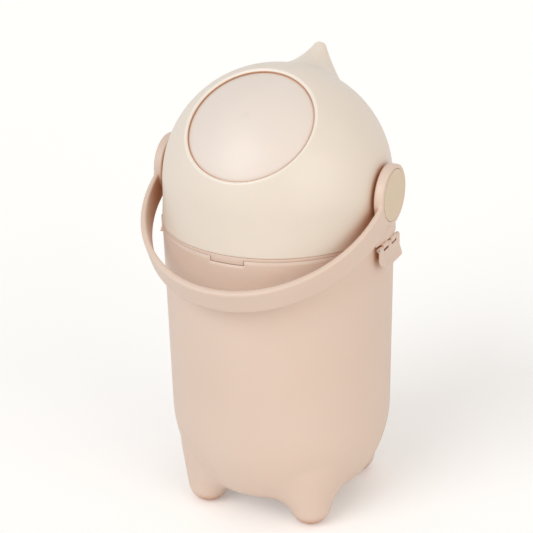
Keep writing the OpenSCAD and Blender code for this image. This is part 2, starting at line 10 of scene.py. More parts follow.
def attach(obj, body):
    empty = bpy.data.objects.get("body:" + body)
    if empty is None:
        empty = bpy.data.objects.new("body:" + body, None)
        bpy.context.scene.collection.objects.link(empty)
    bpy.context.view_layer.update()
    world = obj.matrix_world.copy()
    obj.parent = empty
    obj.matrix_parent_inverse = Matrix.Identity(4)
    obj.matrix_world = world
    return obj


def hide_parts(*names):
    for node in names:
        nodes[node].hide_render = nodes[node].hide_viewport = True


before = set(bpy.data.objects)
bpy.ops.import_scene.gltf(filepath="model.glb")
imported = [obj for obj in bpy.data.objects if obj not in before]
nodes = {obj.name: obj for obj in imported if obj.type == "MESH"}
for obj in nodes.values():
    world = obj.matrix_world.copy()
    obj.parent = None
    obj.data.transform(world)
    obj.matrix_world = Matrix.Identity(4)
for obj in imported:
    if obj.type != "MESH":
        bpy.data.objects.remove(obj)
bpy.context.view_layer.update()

# ---- Bucket ----
# The bucket is one injection moulding in blush polypropylene. Its sides lean in by less than a
# degree, so that it leaves the mould, and its hollow feet run smoothly out of the flank. A small
# rib on each side gives the latch something to close on.

RIM_R, RIM_Z, BUCKET_WALL = 127.7, 336.3, 3.0
DRAFT, FLANK_TURN = math.radians(0.78), math.radians(30)
BELLY_Z, BELLY_ROUND, FLANK_ROUND = 28.0, 35.0, 145.0
belly_mid_z = BELLY_Z + BELLY_ROUND
flank_mid_z = belly_mid_z + (FLANK_ROUND - BELLY_ROUND) * math.sin(FLANK_TURN)
flank_mid_r = (RIM_R * math.cos(DRAFT) - (RIM_Z - flank_mid_z) * math.sin(DRAFT)
               - FLANK_ROUND) / math.cos(DRAFT)
belly_mid_r = flank_mid_r + (FLANK_ROUND - BELLY_ROUND) * math.cos(FLANK_TURN)

FOOT_REACH, FOOT_R, FOOT_FLAT_R = 91.0, 23.5, 8.0
FOOT_SPREAD, FOOT_LEAN = math.radians(13), math.radians(8)
FOOT_TOP, FOOT_SINK = 62.0, 0.006       # from this height a foot sinks back into the flank
BLEND_LOW, BLEND_HIGH, BLEND_FROM_Z, BLEND_FALL = 22.0, 3.0, 30.0, 0.32
FLOOR_ROUND = 3.0                       # rounds the feet where they meet the floor


def linear(colour):
    """An sRGB hex colour as the linear values that Blender's sockets take."""
    parts = [int(colour[i:i + 2], 16) / 255 for i in (1, 3, 5)]
    return [c / 12.92 if c <= 0.04045 else ((c + 0.055) / 1.055) ** 2.4 for c in parts] + [1]


def add_node(tree, kind, sockets=None, **settings):
    """Adds a node to a tree, with its settings, and with values or links for its sockets."""
    node = tree.nodes.new(kind)
    for name, value in settings.items():
        setattr(node, name, value)
    for name, value in (sockets or {}).items():
        if isinstance(value, bpy.types.NodeSocket):
            tree.links.new(value, node.inputs[name])
        else:
            node.inputs[name].default_value = value
    return node


MIX_FROM, MIX_TO, MIX_RESULT = 6, 7, 2  # the colour sockets of a mix node, whose names aren't unique


def moulded_plastic(name, colour, shade, roughness=0.4, grain=1.1, grain_depth=0.012, painted_shade_amount=0.8):
    """Polypropylene, or acetal, from a fine spark-eroded mould: a satin face whose grain breaks up
    the highlights, and a very slow drift of colour where the melt flowed. Painted shade is added:
    near other surfaces the colour turns to a warm brown, by an amount given. Sizes in millimetres."""
    material = bpy.data.materials.new(name)
    material.use_nodes = True
    tree = material.node_tree
    tree.nodes.clear()
    place = add_node(tree, "ShaderNodeTexCoord").outputs["Object"]
    flow = add_node(tree, "ShaderNodeTexNoise",
                    {"Vector": place, "Scale": 1000 / 90, "Detail": 2, "Roughness": 0.5})
    tint = add_node(tree, "ShaderNodeMix", {"Factor": flow.outputs["Fac"], MIX_FROM: linear(colour),
                                            MIX_TO: linear(shade)}, data_type="RGBA")
    # painted shade: within 20 mm of other surfaces the colour is mixed towards a warm brown, the more
    # # the nearer they are, so gaps and corners come out darker and more orange
    gap = add_node(tree, "ShaderNodeAmbientOcclusion", {"Distance": 0.02}, samples=8)
    painted_shade_share = add_node(tree, "ShaderNodeMapRange",
                      {"Value": gap.outputs["AO"], "From Min": 0.1, "From Max": 0.8,
                       "To Min": painted_shade_amount, "To Max": 0})
    with_painted_shade = add_node(tree, "ShaderNodeMix", {"Factor": painted_shade_share.outputs["Result"],
                                              MIX_FROM: tint.outputs[MIX_RESULT],
                                              MIX_TO: linear("#C27C42")}, data_type="RGBA")
    # the real grain is about 0.2 mm, and is drawn coarser so that a render can show it
    pits = add_node(tree, "ShaderNodeTexNoise",
                    {"Vector": place, "Scale": 1000 / grain, "Detail": 3, "Roughness": 0.6})
    bump = add_node(tree, "ShaderNodeBump",
                    {"Height": pits.outputs["Fac"], "Strength": 0.5, "Distance": grain_depth / 1000})
    handling = add_node(tree, "ShaderNodeTexNoise",
                        {"Vector": place, "Scale": 1000 / 25, "Detail": 4, "Roughness": 0.65})
    gloss = add_node(tree, "ShaderNodeMapRange",
                     {"Value": handling.outputs["Fac"], "From Min": 0.3, "From Max": 0.7,
                      "To Min": roughness - 0.04, "To Max": roughness + 0.05})
    shader = add_node(tree, "ShaderNodeBsdfPrincipled",
                      {"Base Color": with_painted_shade.outputs[MIX_RESULT], "Roughness": gloss.outputs["Result"],
                       "IOR": 1.49, "Normal": bump.outputs["Normal"],
                       "Subsurface Weight": 0.12, "Subsurface Radius": (1.0, 0.62, 0.42),
                       "Subsurface Scale": 0.004})
    add_node(tree, "ShaderNodeOutputMaterial", {"Surface": shader.outputs["BSDF"]})
    return material


def bucket_distance(p):
    """Distance from the outside of the bucket: the turned flank and four feet, run together."""
    r, z = np.hypot(p[:, 0], p[:, 1]), p[:, 2]
    flank_r, flank_z = r - flank_mid_r, z - flank_mid_z
    belly_r, belly_z = r - belly_mid_r, z - belly_mid_z
    side = flank_r * math.cos(DRAFT) - flank_z * math.sin(DRAFT) - FLANK_ROUND
    down = np.arctan2(-flank_z, flank_r)
    flank = np.hypot(flank_r, flank_z) - FLANK_ROUND
    belly = np.hypot(np.maximum(belly_r, 0), belly_z) - BELLY_ROUND
    body = np.where(down < DRAFT, side, np.where(down < FLANK_TURN, flank, belly))
    # two upright planes through the axis carry the feet, so one foot stands for all four
    x, y = np.abs(p[:, 0]), np.abs(p[:, 1])
    ball_z = math.sqrt(FOOT_R ** 2 - FOOT_FLAT_R ** 2)
    along = (x + y) / math.sqrt(2) - FOOT_REACH
    across = (x - y) / math.sqrt(2)
    up = z - ball_z
    lean_along = along * math.cos(FOOT_LEAN) + up * math.sin(FOOT_LEAN)
    lean_up = up * math.cos(FOOT_LEAN) - along * math.sin(FOOT_LEAN)
    out = np.hypot(lean_along, across)
    on_cone = out * math.sin(FOOT_SPREAD) + lean_up * math.cos(FOOT_SPREAD) > 0
    cone = out * math.cos(FOOT_SPREAD) - lean_up * math.sin(FOOT_SPREAD) - FOOT_R
    foot = np.where(on_cone, cone, np.hypot(out, lean_up) - FOOT_R)
    foot = foot + FOOT_SINK * np.maximum(z - FOOT_TOP, 0) ** 2
    # the feet run out of the flank softly low down, and in a tighter line higher up
    blend = np.clip(BLEND_LOW - BLEND_FALL * (z - BLEND_FROM_Z), BLEND_HIGH, BLEND_LOW)
    overlap = np.maximum(blend - np.abs(body - foot), 0) / blend
    both = np.minimum(body, foot) - overlap ** 2 * blend / 4
    near = np.maximum(FLOOR_ROUND - np.abs(both + z), 0) / FLOOR_ROUND
    return np.maximum(both, -z) + near ** 2 * FLOOR_ROUND / 4


def to_surface(p, distance, times=3, most=2.0):
    """Moves points along the slope of a distance onto the surface."""
    tiny = 0.02
    for _ in range(times):
        d = distance(p)
        slope = np.stack([distance(p + tiny * axis) - distance(p - tiny * axis)
                          for axis in np.eye(3)], 1) / (2 * tiny)
        p = p - slope * np.clip(d / np.maximum((slope ** 2).sum(1), 0.05), -most, most)[:, None]
    return p


def grid_faces(rows, columns, flipped=False):
    """Quads over rows of points that close round on themselves."""
    faces = []
    for i in range(rows - 1):
        for j in range(columns):
            k = (j + 1) % columns
            quad = [i * columns + j, i * columns + k, (i + 1) * columns + k, (i + 1) * columns + j]
            faces.append(quad[::-1] if flipped else quad)
    return faces


def piece(name, points, faces, material, body, replaced=(), slot=None):
    """A smooth-shaded mesh in the scene, from points in millimetres, that rides on a CAD body."""
    mesh = bpy.data.meshes.new(name)
    mesh.from_pydata([[c / 1000 for c in p] for p in points], [], faces)
    mesh.validate()
    mesh.materials.append(material)
    for polygon in mesh.polygons:
        polygon.use_smooth = True
    made = bpy.data.objects.new(name, mesh)
    bpy.context.scene.collection.objects.link(made)
    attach(made, body)
    if replaced:
        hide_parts(*replaced)
    return made


def settle(made):
    """Applies the modifiers of a piece to its mesh."""
    bpy.context.view_layer.update()
    seen = made.evaluated_get(bpy.context.evaluated_depsgraph_get())
    mesh = bpy.data.meshes.new_from_object(seen)
    made.modifiers.clear()
    made.data = mesh


def cut_block(made, low, high):
    """Takes a box, given by two corners in millimetres, out of a piece."""
    points = [[(low, high)[(i >> a) & 1][a] / 1000 for a in range(3)] for i in range(8)]
    sides = [[0, 2, 3, 1], [4, 5, 7, 6], [0, 1, 5, 4], [2, 6, 7, 3], [0, 4, 6, 2], [1, 3, 7, 5]]
    cut = bpy.data.meshes.new("cut")
    cut.from_pydata(points, [], sides)
    tool = bpy.data.objects.new("cut", cut)
    bpy.context.scene.collection.objects.link(tool)
    taken = made.modifiers.new("cut", "BOOLEAN")
    taken.operation, taken.solver, taken.object = "DIFFERENCE", "EXACT", tool
    settle(made)
    bpy.data.objects.remove(tool)


SIDE_ROWS, FLANK_ROWS, BELLY_ROWS, UNDER_ROWS, ROUND_STEPS = 46, 34, 18, 34, 256
FROM_OUTSIDE = 34.0                     # far enough out to start beyond the feet
UNDER_HOLE_R = 4.0                      # the last ring under the belly, closed by one point
side_z = np.linspace(RIM_Z, flank_mid_z - FLANK_ROUND * math.sin(DRAFT), SIDE_ROWS)
profile = [[RIM_R - (RIM_Z - z) * math.tan(DRAFT), z, math.cos(DRAFT), -math.sin(DRAFT)] for z in side_z]
profile += [[flank_mid_r + FLANK_ROUND * math.cos(a), flank_mid_z - FLANK_ROUND * math.sin(a),
             math.cos(a), -math.sin(a)] for a in np.linspace(DRAFT, FLANK_TURN, FLANK_ROWS)[1:]]
profile += [[belly_mid_r + BELLY_ROUND * math.cos(a), belly_mid_z - BELLY_ROUND * math.sin(a),
             math.cos(a), -math.sin(a)] for a in np.linspace(FLANK_TURN, math.pi / 2, BELLY_ROWS)[1:]]
profile += [[r, BELLY_Z, 0, -1] for r in np.linspace(belly_mid_r, UNDER_HOLE_R, UNDER_ROWS)[1:]]
profile = np.array(profile)
turn = np.arange(ROUND_STEPS) * 2 * math.pi / ROUND_STEPS


def turned(r, z):
    """The points of rings with these radii and heights, ring after ring."""
    r, z = np.asarray(r)[:, None], np.asarray(z)[:, None]
    return np.stack([r * np.cos(turn), r * np.sin(turn), z + 0 * turn], -1).reshape(-1, 3)


outward = turned(profile[:, 2], profile[:, 3])
skin = turned(profile[:, 0], profile[:, 1]) + FROM_OUTSIDE * outward
for _ in range(40):                                 # from outside, straight in to the skin
    skin = skin - outward * np.clip(bucket_distance(skin), 0, 20)[:, None]
rows = len(profile)
for _ in range(30):                                 # even out the quads round the feet
    net = skin.reshape(rows, ROUND_STEPS, 3)
    even = net.copy()
    even[1:-1] = (net[:-2] + net[2:] + np.roll(net, 1, 1)[1:-1] + np.roll(net, -1, 1)[1:-1]) / 4
    even[:SIDE_ROWS] = net[:SIDE_ROWS]
    skin = to_surface(even.reshape(-1, 3), bucket_distance, 1)
skin = to_surface(skin, bucket_distance)
skin[:, 2] = np.maximum(skin[:, 2], 0)
bucket_faces = grid_faces(rows, ROUND_STEPS, flipped=True)
pole = len(skin)
bucket_faces += [[pole, pole - ROUND_STEPS + (j + 1) % ROUND_STEPS, pole - ROUND_STEPS + j]
                 for j in range(ROUND_STEPS)]
blush = moulded_plastic("blush polypropylene, moulded", "#E1CABB", "#DBC3B2")
bucket = piece("bucket_moulding", np.vstack([skin, [[0, 0, BELLY_Z]]]), bucket_faces, blush,
               "bucket", ["bucket"], "blush_plastic")
wall = bucket.modifiers.new("wall", "SOLIDIFY")
wall.thickness, wall.offset, wall.use_even_offset = BUCKET_WALL / 1000, -1, True
settle(bucket)

# the notch for the ring's tab, 0.4 mm wider than the tab on each side
TAB_HALF, TAB_DROP, SLIDE_GAP, CUT_OVER = 19.0, 5.0, 0.4, 3.0
cut_block(bucket, (-TAB_HALF - SLIDE_GAP, -RIM_R - CUT_OVER, RIM_Z - TAB_DROP - SLIDE_GAP),
          (TAB_HALF + SLIDE_GAP, -RIM_R + 2 * CUT_OVER, RIM_Z + CUT_OVER))
CATCH_Z, CATCH_H, CATCH_OUT, CATCH_HALF, CATCH_SUNK = 313.2, 4.0, 1.2, 14.0, 1.5


def rounded_more(a, b, r):
    """The larger of two distances, with the edge between their surfaces rounded by r."""
    return np.minimum(np.maximum(a, b), -r) + np.hypot(np.maximum(a + r, 0), np.maximum(b + r, 0))


def closed_net(distance, low, high, step):
    """Points and quads on the closed surface where a distance is zero, on a lattice of a step."""
    axes = [np.arange(a - 2 * step, b + 3 * step, step) for a, b in zip(low, high)]
    lattice = np.stack(np.meshgrid(*axes, indexing="ij"), -1)
    size = np.array(lattice.shape[:3])
    value = distance(lattice.reshape(-1, 3)).reshape(size)
    cells = size - 1
    total, count, crossed = np.zeros((*cells, 3)), np.zeros(cells), []
    for axis in range(3):
        near = value.take(range(size[axis] - 1), axis)
        far = value.take(range(1, size[axis]), axis)
        cross = (near < 0) != (far < 0)
        share = np.where(cross, near / np.where(cross, near - far, 1), 0)
        place = lattice.take(range(size[axis] - 1), axis).copy()
        place[..., axis] += share * step
        crossed.append((cross, near < 0))
        others = [a for a in range(3) if a != axis]
        for du in (0, 1):
            for dv in (0, 1):
                part = [slice(None)] * 3
                part[others[0]] = slice(du, size[others[0]] - 1 + du)
                part[others[1]] = slice(dv, size[others[1]] - 1 + dv)
                here = cross[tuple(part)]
                total += place[tuple(part)] * here[..., None]
                count += here
    used = count > 0
    number = np.full(cells, -1)
    number[used] = np.arange(used.sum())
    points = total[used] / count[used][:, None]
    faces = []
    for axis, (cross, inside) in enumerate(crossed):
        u, v = [a for a in range(3) if a != axis]
        for at in np.argwhere(cross):
            if min(at[u], at[v]) == 0 or at[u] > cells[u] - 1 or at[v] > cells[v] - 1:
                continue
            quad = []
            for du, dv in ((1, 1), (0, 1), (0, 0), (1, 0)):
                cell = at.copy()
                cell[u] -= du
                cell[v] -= dv
                quad.append(int(number[tuple(cell)]))
            faces.append(quad if inside[tuple(at)] == (axis != 1) else quad[::-1])
    return to_surface(points, distance, 4, step * 0.6), faces


def rib_distance(p):
    """Distance from the two catch ribs, each a short bar that follows the wall."""
    r = np.hypot(p[:, 0], p[:, 1])
    across = rounded_more(r - RIM_R - CATCH_OUT, RIM_R - CATCH_SUNK - r, 0.3)
    height = np.abs(p[:, 2] - CATCH_Z - CATCH_H / 2) - CATCH_H / 2
    return rounded_more(rounded_more(across, height, 0.5), np.abs(p[:, 1]) - CATCH_HALF, 0.5)


points, faces = [], []
for low_x, high_x in ((-RIM_R - CATCH_OUT, -RIM_R + BUCKET_WALL),
                      (RIM_R - BUCKET_WALL, RIM_R + CATCH_OUT)):
    some, around = closed_net(rib_distance, (low_x, -CATCH_HALF, CATCH_Z),
                              (high_x, CATCH_HALF, CATCH_Z + CATCH_H), 0.6)
    faces += [[i + len(points) for i in face] for face in around]
    points += list(some)
piece("catch_ribs", points, faces, blush, "bucket", (), "blush_plastic")

# ---- Lid shell ----
# The dome is a cream moulding whose little horn is drawn up out of the ball in one hollow sweep,
# straighter at the back. The edge of its round opening is rolled over, the lower rim sits on the bag
# ring, and on each side a blush ear with two knuckles hangs over the seam to carry a latch.

AXIS_Z, SEAM_TOP, DOME_R, DOME_INSET, LID_WALL = 382.6, 340.0, 126.0, 2.0, 3.0
DOME_RISE = AXIS_Z - SEAM_TOP
OPENING_R, OPENING_LEAN, OPENING_ROUND = 68.8, math.radians(38.4), 3.0
HORN_REACH, HORN_TIP_R, HORN_SWEEP, HORN_LEAN = 169.8, 8.0, 90.0, math.radians(44.9)
HORN_BACK = math.radians(37)            # the straight slope at the back of the horn
HUB_SEAT_R, HUB_SEAT_X = 33.6, 126.15   # flat places under the hubs of the handle
BUSH_SEAT_R, BUSH_SEAT_X = 21.5, 124.15
horn_way = np.array([0, math.sin(HORN_LEAN), math.cos(HORN_LEAN)])
horn_back = np.array([0, math.cos(HORN_LEAN), -math.sin(HORN_LEAN)])
opening_way = np.array([0, -math.sin(OPENING_LEAN), math.cos(OPENING_LEAN)])
opening_up = np.array([0, math.cos(OPENING_LEAN), math.sin(OPENING_LEAN)])
tip_at = HORN_REACH - HORN_TIP_R
# the sweep is an arc that touches the ball of the dome and the small ball of the tip from outside
from_dome, from_tip = DOME_R + HORN_SWEEP, HORN_TIP_R + HORN_SWEEP
sweep_along = (from_dome ** 2 - from_tip ** 2 + tip_at ** 2) / (2 * tip_at)
sweep_out = math.sqrt(from_dome ** 2 - sweep_along ** 2)


def lid_reach(way, inset):
    """How far the lid's surface, or one inset from it, lies from the dome's centre along a way."""
    flat = np.hypot(way[:, 0], way[:, 1])
    reach = np.full(len(way), DOME_R - inset)
    low = way[:, 2] < 0                             # the skirt spreads slowly towards the seam
    for _ in range(12):
        fall = np.clip(-reach * way[:, 2] / DOME_RISE, 0, 1.2)
        reach = np.where(low, (DOME_R - inset + DOME_INSET * fall ** 2) / np.maximum(flat, 0.3), reach)
    from_horn = np.arccos(np.clip(way @ horn_way, -1, 1))
    on_tip = math.atan2(sweep_out * HORN_TIP_R / from_tip,
                        tip_at + (sweep_along - tip_at) * HORN_TIP_R / from_tip)
    s, c = np.sin(from_horn), np.cos(from_horn)
    middle = s * sweep_out + c * sweep_along
    room = middle ** 2 - sweep_out ** 2 - sweep_along ** 2 + (HORN_SWEEP + inset) ** 2
    sweep = middle - np.sqrt(np.maximum(room, 0))
    tip = tip_at * c + np.sqrt(np.maximum((HORN_TIP_R - inset) ** 2 - (tip_at * s) ** 2, 0))
    straight = (HORN_TIP_R - inset + tip_at * math.sin(HORN_BACK)) / np.sin(from_horn + HORN_BACK)
    behind = np.clip(0.55 + 0.75 * (way @ horn_back) / np.maximum(s, 0.001), 0, 1)
    sweep += behind * np.maximum(straight - sweep, 0)
    horn = np.where(from_horn < on_tip, np.maximum(tip, 0), sweep)
    starts = math.atan2(sweep_out, sweep_along)
    return np.where(from_horn < starts, horn, reach)


def lid_surface(way, inset):
    """Points of the lid's surface, with the flat places under hubs and bushes pressed in."""
    p = way * lid_reach(way, inset)[:, None]
    if not inset:
        off_axis = np.hypot(p[:, 1], p[:, 2])
        seat = np.where(off_axis < HUB_SEAT_R, HUB_SEAT_X, 999)
        seat = np.where(off_axis < BUSH_SEAT_R, BUSH_SEAT_X, seat)
        p[:, 0] = np.clip(p[:, 0], -seat, seat)
    return p + [0, 0, AXIS_Z]


def uneven(count, low, high, dense, spread, extra):
    """Steps from low to high that crowd round one value."""
    x = np.linspace(low, high, 4000)
    weight = np.cumsum(1 + extra * np.exp(-((x - dense) / spread) ** 2))
    weight = (weight - weight[0]) / (weight[-1] - weight[0])
    return np.interp(np.linspace(0, 1, count), weight, x)


# columns crowd towards the horn, and rows below do the same
round_turn = uneven(325, 0, 2 * math.pi, math.pi, 0.09, 5)[:-1]
across_way = np.cos(round_turn)[:, None] * -opening_up + np.sin(round_turn)[:, None] * [1, 0, 0]


def ways(from_opening):
    """Directions at these angles from the opening's middle, one for each column."""
    a = np.asarray(from_opening)
    return np.sin(a)[:, None] * across_way + np.cos(a)[:, None] * opening_way


def seam_angle(inset, z):
    """For each column, the angle from the opening's middle at which the surface reaches a height."""
    near, far = np.full(len(round_turn), 0.9), np.full(len(round_turn), 2.9)
    for _ in range(40):
        middle = (near + far) / 2
        above = lid_surface(ways(middle), inset)[:, 2] > z
        near, far = np.where(above, middle, near), np.where(above, far, middle)
    return near


roll_reach = DOME_R - OPENING_ROUND
round_mid = math.asin((OPENING_R + OPENING_ROUND) / roll_reach)
round_from = math.pi / 2 - round_mid
round_to = round_from + math.pi / 2 + math.asin(OPENING_ROUND / 2 / roll_reach)
rim = []
for a in np.linspace(round_to, round_from, 9):
    out = roll_reach * math.sin(round_mid) + OPENING_ROUND * math.cos(a)
    along = roll_reach * math.cos(round_mid) + OPENING_ROUND * math.sin(a)
    rim.append(out * across_way + along * opening_way + [0, 0, AXIS_Z])
seam_r = DOME_R + DOME_INSET
EDGE = 1.0                              # the lid's lower edge is rounded by this much
HORN_ROW, LAST_ROW = math.radians(82.9), math.radians(146.8)    # seen from the opening's middle
steps = uneven(150, 0, 1, (HORN_ROW - round_mid) / (LAST_ROW - round_mid), 0.045, 5)[1:]
last = seam_angle(0, SEAM_TOP + EDGE)
outside = [lid_surface(ways(round_mid + (last - round_mid) * s), 0) for s in steps]
around = np.arctan2(outside[-1][:, 1], outside[-1][:, 0])
edge_places = ((seam_r - 0.05 - EDGE * 0.3, SEAM_TOP + EDGE * 0.3), (seam_r - EDGE, SEAM_TOP),
               (seam_r - LID_WALL + EDGE, SEAM_TOP), (seam_r - LID_WALL + 0.1, SEAM_TOP + EDGE * 0.6))
edge = [np.stack([r * np.cos(around), r * np.sin(around), np.full(len(around), z)], 1)
        for r, z in edge_places]
last_in = seam_angle(LID_WALL, SEAM_TOP + EDGE * 1.6)
rim_out = roll_reach * math.sin(round_mid) + OPENING_ROUND * math.cos(round_to)
first_in = math.asin(rim_out / (DOME_R - LID_WALL)) + 0.004
inside = [lid_surface(ways(first_in + (last_in - first_in) * s), LID_WALL) for s in steps[::-1]]
lid_rows = rim + outside + edge + inside
lid_points = np.vstack(lid_rows)
columns = len(round_turn)
lid_faces = grid_faces(len(lid_rows), columns)
last_row = (len(lid_rows) - 1) * columns
lid_faces += [[last_row + j, last_row + (j + 1) % columns, (j + 1) % columns, j]
              for j in range(columns)]
cream = moulded_plastic("cream polypropylene, moulded", "#E8DCCF", "#E2D4C5")
lid = piece("lid_moulding", lid_points, lid_faces, cream, "lid", ["lid_shell"], "cream_plastic")
# the mould is polished where it shuts round the opening, so the rolled edge has no grain and is
# # glossier; its colour is also made lighter than the lid's, a painted highlight, and it gets little
# # of the painted shade
polished_painted_highlight = moulded_plastic("cream polypropylene, polished edge", "#EFE5DA", "#EBE0D4",
                                 roughness=0.25, grain_depth=0.002, painted_shade_amount=0.1)
lid.data.materials.append(polished_painted_highlight)
for polygon in lid.data.polygons[:(len(rim) - 2) * columns]:
    polygon.material_index = 1

# the ears that carry the latches, each with a pair of knuckles on the line of its pin
EAR_HALF, EAR_TOP, EAR_BOTTOM, EAR_OUT, EAR_ROUND = 27.5, 347.0, 331.0, 131.0, 10.0
PIN_X, PIN_Z, PIN_R, KNUCKLE_R = 130.45, 327.5, 1.2, 2.45
LATCH_KNUCKLE, LID_KNUCKLE, GAP = 7.4, 14.0, 0.3
lid_knuckle_y = LATCH_KNUCKLE / 2 + GAP + LID_KNUCKLE / 2


def slab(along, middle, length):
    """Distance from the space between two flat faces, a length apart."""
    return np.abs(along - middle) - length / 2


def ear_distance(p):
    """Distance from an ear: a plate that follows the lid, and two knuckles with a web each."""
    r, y, z = np.hypot(p[:, 0], p[:, 1]), np.abs(p[:, 1]), p[:, 2]
    inner = np.where(z > SEAM_TOP + 0.6, seam_r - LID_WALL / 2, RIM_R + SLIDE_GAP)
    corner = np.hypot(np.maximum(y - EAR_HALF + EAR_ROUND, 0),
                      np.maximum(z - EAR_TOP + EAR_ROUND, 0))
    outline = np.maximum(np.maximum(corner - EAR_ROUND, y - EAR_HALF), EAR_BOTTOM - z)
    plate = rounded_more(rounded_more(r - EAR_OUT, outline, 0.9), inner - r, 0.3)
    from_pin = np.hypot(p[:, 0] - PIN_X, z - PIN_Z)
    width = slab(y, lid_knuckle_y, LID_KNUCKLE)
    knuckle = rounded_more(from_pin - KNUCKLE_R, width, 0.4)
    web = rounded_more(slab(p[:, 0], PIN_X, 2 * KNUCKLE_R - 0.6), width, 0.4)
    web = rounded_more(web, slab(z, (PIN_Z + EAR_BOTTOM + 1) / 2, EAR_BOTTOM + 1 - PIN_Z), 0.2)
    solid = np.minimum(np.minimum(plate, web), knuckle)
    return np.maximum(solid, PIN_R - from_pin)


def mirrored(points, faces):
    """The same piece on the other side of the bin."""
    return points * [-1, 1, 1], [face[::-1] for face in faces]


ear_net = closed_net(ear_distance, (seam_r - LID_WALL, -EAR_HALF, PIN_Z - KNUCKLE_R),
                     (PIN_X + KNUCKLE_R + 0.1, EAR_HALF, EAR_TOP), 0.7)
piece("latch_ear_right", *ear_net, blush, "lid", (), "blush_plastic")
piece("latch_ear_left", *mirrored(*ear_net), blush, "lid", (), "blush_plastic")

# ---- Bag ring ----
# A loose blush ring rests on the bucket's rim and holds the bag's edge under the lid. Its tab drops
# into the bucket's notch at the front, so the ring can't turn.


def dressed(name, material, edge):
    """Gives a CAD solid its material, and rounds its sharp edges by a width in millimetres."""
    made = nodes[name]
    made.data.materials.clear()
    made.data.materials.append(material)
    joined = made.modifiers.new("joined corners", "WELD")
    joined.merge_threshold = 1e-5
    rounded = made.modifiers.new("rounded edges", "BEVEL")
    rounded.width, rounded.segments = edge / 1000, 2
    rounded.limit_method, rounded.angle_limit = "ANGLE", math.radians(40)
    rounded.use_clamp_overlap, rounded.harden_normals = True, False


dressed("bag_ring", blush, 0.8)

# ---- Lid base and seals ----
# Inside the lid a cream base ring closes the drum's housing, and two soft rubber rings keep the
# smell in: one under the base, on the bag ring, and one in the edge of the opening.


def moulded_rubber(name, colour, roughness=0.62):
    """Soft thermoplastic rubber: a matt face with a faint bloom, seen as lighter, duller patches."""
    material = bpy.data.materials.new(name)
    material.use_nodes = True
    tree = material.node_tree
    tree.nodes.clear()
    place = add_node(tree, "ShaderNodeTexCoord").outputs["Object"]
    bloom = add_node(tree, "ShaderNodeTexNoise", {"Vector": place, "Scale": 1000 / 8, "Detail": 4})
    lighter = [min(1, c * 1.35 + 0.01) for c in linear(colour)[:3]] + [1]
    tint = add_node(tree, "ShaderNodeMix", {"Factor": bloom.outputs["Fac"], MIX_FROM: linear(colour),
                                            MIX_TO: lighter}, data_type="RGBA")
    skin = add_node(tree, "ShaderNodeTexNoise", {"Vector": place, "Scale": 1000 / 0.8, "Detail": 2})
    bump = add_node(tree, "ShaderNodeBump",
                    {"Height": skin.outputs["Fac"], "Strength": 0.5, "Distance": 0.00002})
    shader = add_node(tree, "ShaderNodeBsdfPrincipled",
                      {"Base Color": tint.outputs[MIX_RESULT], "Roughness": roughness, "IOR": 1.5,
                       "Normal": bump.outputs["Normal"]})
    add_node(tree, "ShaderNodeOutputMaterial", {"Surface": shader.outputs["BSDF"]})
    return material


rubber = moulded_rubber("thermoplastic rubber, tan", "#C9946B")
dressed("lid_base", cream, 0.5)
dressed("lid_seal", rubber, 0.3)
dressed("opening_seal", rubber, 0.2)

# ---- Drum ----
# The drum is a ball in two shells that turns under the dome. Its mouth holds the cup that carries a
# nappy over into the bag, and four steel screws hold the mouth shell to the ball.

# the drum's colour gets only a little of the painted warm shade in tight places
pinker = moulded_plastic("blush polypropylene, drum", "#E8DCD3", "#E3D4C9",
                         roughness=0.37, painted_shade_amount=0.3)


def machined_steel(name, colour, roughness=0.3):
    """Zinc-plated steel: bright metal, brushed in fine rings that catch the light unevenly."""
    material = bpy.data.materials.new(name)
    material.use_nodes = True
    tree = material.node_tree
    tree.nodes.clear()
    place = add_node(tree, "ShaderNodeTexCoord").outputs["Object"]
    marks = add_node(tree, "ShaderNodeTexNoise", {"Vector": place, "Scale": 1000 / 1.5, "Detail": 5})
    gloss = add_node(tree, "ShaderNodeMapRange",
                     {"Value": marks.outputs["Fac"], "From Min": 0.3, "From Max": 0.7,
                      "To Min": roughness - 0.08, "To Max": roughness + 0.12})
    bump = add_node(tree, "ShaderNodeBump",
                    {"Height": marks.outputs["Fac"], "Strength": 0.4, "Distance": 0.00001})
    shader = add_node(tree, "ShaderNodeBsdfPrincipled",
                      {"Base Color": linear(colour), "Metallic": 1, "Normal": bump.outputs["Normal"],
                       "Roughness": gloss.outputs["Result"]})
    add_node(tree, "ShaderNodeOutputMaterial", {"Surface": shader.outputs["BSDF"]})
    return material


steel = machined_steel("zinc-plated steel", "#B9BABD")
acetal = moulded_plastic("natural acetal", "#CFC8BC", "#C6BEB1", roughness=0.32, grain=0.7)
dressed("drum_shell", pinker, 0.5)
dressed("drum_mouth_shell", pinker, 0.6)
dressed("drum_cup", pinker, 0.6)
dressed("drum_screws", steel, 0.15)
dressed("pivot_bush_left", acetal, 0.4)
dressed("pivot_bush_right", acetal, 0.4)

# ---- Handle ----
# The handle is one wide blush moulding: a band with rolled edges that grows from a hub on each
# side, and is a little thicker at the grip. A keyed spigot behind each hub goes through the lid
# into the drum, so that turning the handle turns the drum.

HUB_FACE, HUB_OUT, HUB_R = 126.45, 136.95, 33.3
ARM_T, GRIP_T, ARM_STRAIGHT, GRIP_REACH = 6.2, 7.7, 30.5, 171.4
BAND_TOP, BAND_BOTTOM, HANDLE_DROP = 11.0, 18.2, math.radians(26.5)
EDGE_ROLL = 0.34                        # the roll of the band's edges, as a share of its thickness
CAP_R, CAP_T, SCREW_POCKET_R, SCREW_POCKET = 28.2, 2.2, 8.0, 6.8
SPIGOT_R, SPIGOT_FLAT, SPIGOT_END, DRUM_FLAT, SCREW_R = 12.0, 2.5, 98.0, 110.0, 2.0


